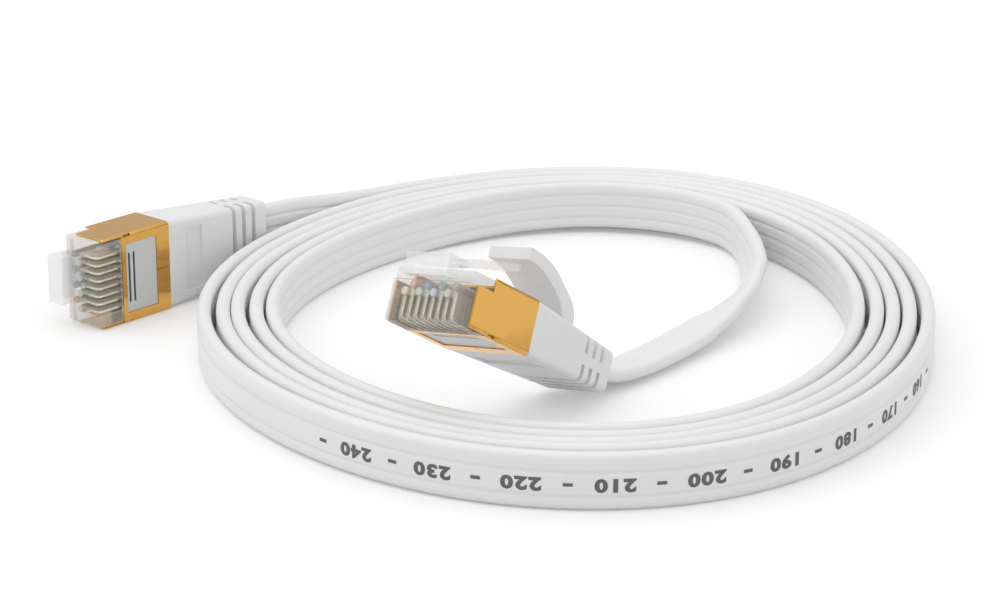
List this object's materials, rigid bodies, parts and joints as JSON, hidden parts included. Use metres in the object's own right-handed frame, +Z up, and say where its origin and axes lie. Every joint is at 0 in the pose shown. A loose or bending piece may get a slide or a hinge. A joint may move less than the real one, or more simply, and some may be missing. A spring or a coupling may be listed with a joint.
{
  "type": "ethernet patch cable",
  "caption": "Flat shielded ethernet patch cable wound on edge into a loose oval coil, with a gold-shielded modular plug, spring latch and guarded boot at each end.",
  "frame": {"origin": "centre of the cable coil, on the flat surface that the cable lies on", "axes": "+Z up from the surface, +X to the right and +Y to the back as the cable is seen from the front; the free plug outside the coil lies at -X"},
  "size_m": [0.1117, 0.114, 0.024],
  "materials": {
    "clear_housing": "clear moulded polycarbonate, slightly frosted",
    "gold_shield": "bright gold-plated sheet",
    "gold_contacts": "polished gold plate",
    "natural_nylon": "satin",
    "white_boot": "soft matt moulding",
    "white_jacket": "satin extruded jacket",
    "crimp_metal": "plain strip",
    "wire_white_orange": "satin insulation",
    "wire_orange": "satin insulation",
    "wire_white_green": "satin insulation",
    "wire_blue": "satin insulation",
    "wire_white_blue": "satin insulation",
    "wire_green": "satin insulation",
    "wire_white_brown": "satin insulation",
    "wire_brown": "satin insulation"
  },
  "bodies": {
    "cable_assembly": {"boot_a": "white_boot", "boot_b": "white_boot", "cable_coil": "white_jacket", "cable_lead_a": "white_jacket", "cable_lead_b": "white_jacket", "contacts_a": "gold_contacts", "contacts_b": "gold_contacts", "crimp_band_a": "crimp_metal", "crimp_band_b": "crimp_metal", "housing_a": "clear_housing", "housing_b": "clear_housing", "jacket_end_a": "white_jacket", "jacket_end_b": "white_jacket", "load_bar_a": "natural_nylon", "load_bar_b": "natural_nylon", "shield_a": "gold_shield", "shield_b": "gold_shield", "wire_1_white_orange_a": "wire_white_orange", "wire_1_white_orange_b": "wire_white_orange", "wire_2_orange_a": "wire_orange", "wire_2_orange_b": "wire_orange", "wire_3_white_green_a": "wire_white_green", "wire_3_white_green_b": "wire_white_green", "wire_4_blue_a": "wire_blue", "wire_4_blue_b": "wire_blue", "wire_5_white_blue_a": "wire_white_blue", "wire_5_white_blue_b": "wire_white_blue", "wire_6_green_a": "wire_green", "wire_6_green_b": "wire_green", "wire_7_white_brown_a": "wire_white_brown", "wire_7_white_brown_b": "wire_white_brown", "wire_8_brown_a": "wire_brown", "wire_8_brown_b": "wire_brown"},
    "latch_a": {"latch_a": "clear_housing"},
    "guard_a": {"guard_a": "white_boot"},
    "latch_b": {"latch_b": "clear_housing"},
    "guard_b": {"guard_b": "white_boot"}
  },
  "joints": [
    {"name": "guard_a_flex", "type": "hinge", "parent": "cable_assembly", "child": "guard_a", "pos_m": [-0.04892, 0.02213, 0.00595], "axis": [0, 0, 1], "range_deg": [0, 15], "stiffness_Nm_per_rad": 0.02},
    {"name": "latch_a_flex", "type": "hinge", "parent": "cable_assembly", "child": "latch_a", "pos_m": [-0.06327, 0.00519, 0.00595], "axis": [0, 0, -1], "range_deg": [0, 11.5], "stiffness_Nm_per_rad": 0.02},
    {"name": "guard_b_flex", "type": "hinge", "parent": "cable_assembly", "child": "guard_b", "pos_m": [-0.00287, -0.02501, 0.00987], "axis": [0.7894, -0.5969, 0.1433], "range_deg": [0, 15], "stiffness_Nm_per_rad": 0.02},
    {"name": "latch_b_flex", "type": "hinge", "parent": "cable_assembly", "child": "latch_b", "pos_m": [-0.0157, -0.03931, 0.02101], "axis": [-0.7894, 0.5969, -0.1433], "range_deg": [0, 11.5], "stiffness_Nm_per_rad": 0.02}
  ],
  "couplings": [
    {"joint": "latch_a_flex", "follows": "guard_a_flex", "ratio": 0.75},
    {"joint": "latch_b_flex", "follows": "guard_b_flex", "ratio": 0.75}
  ]
}
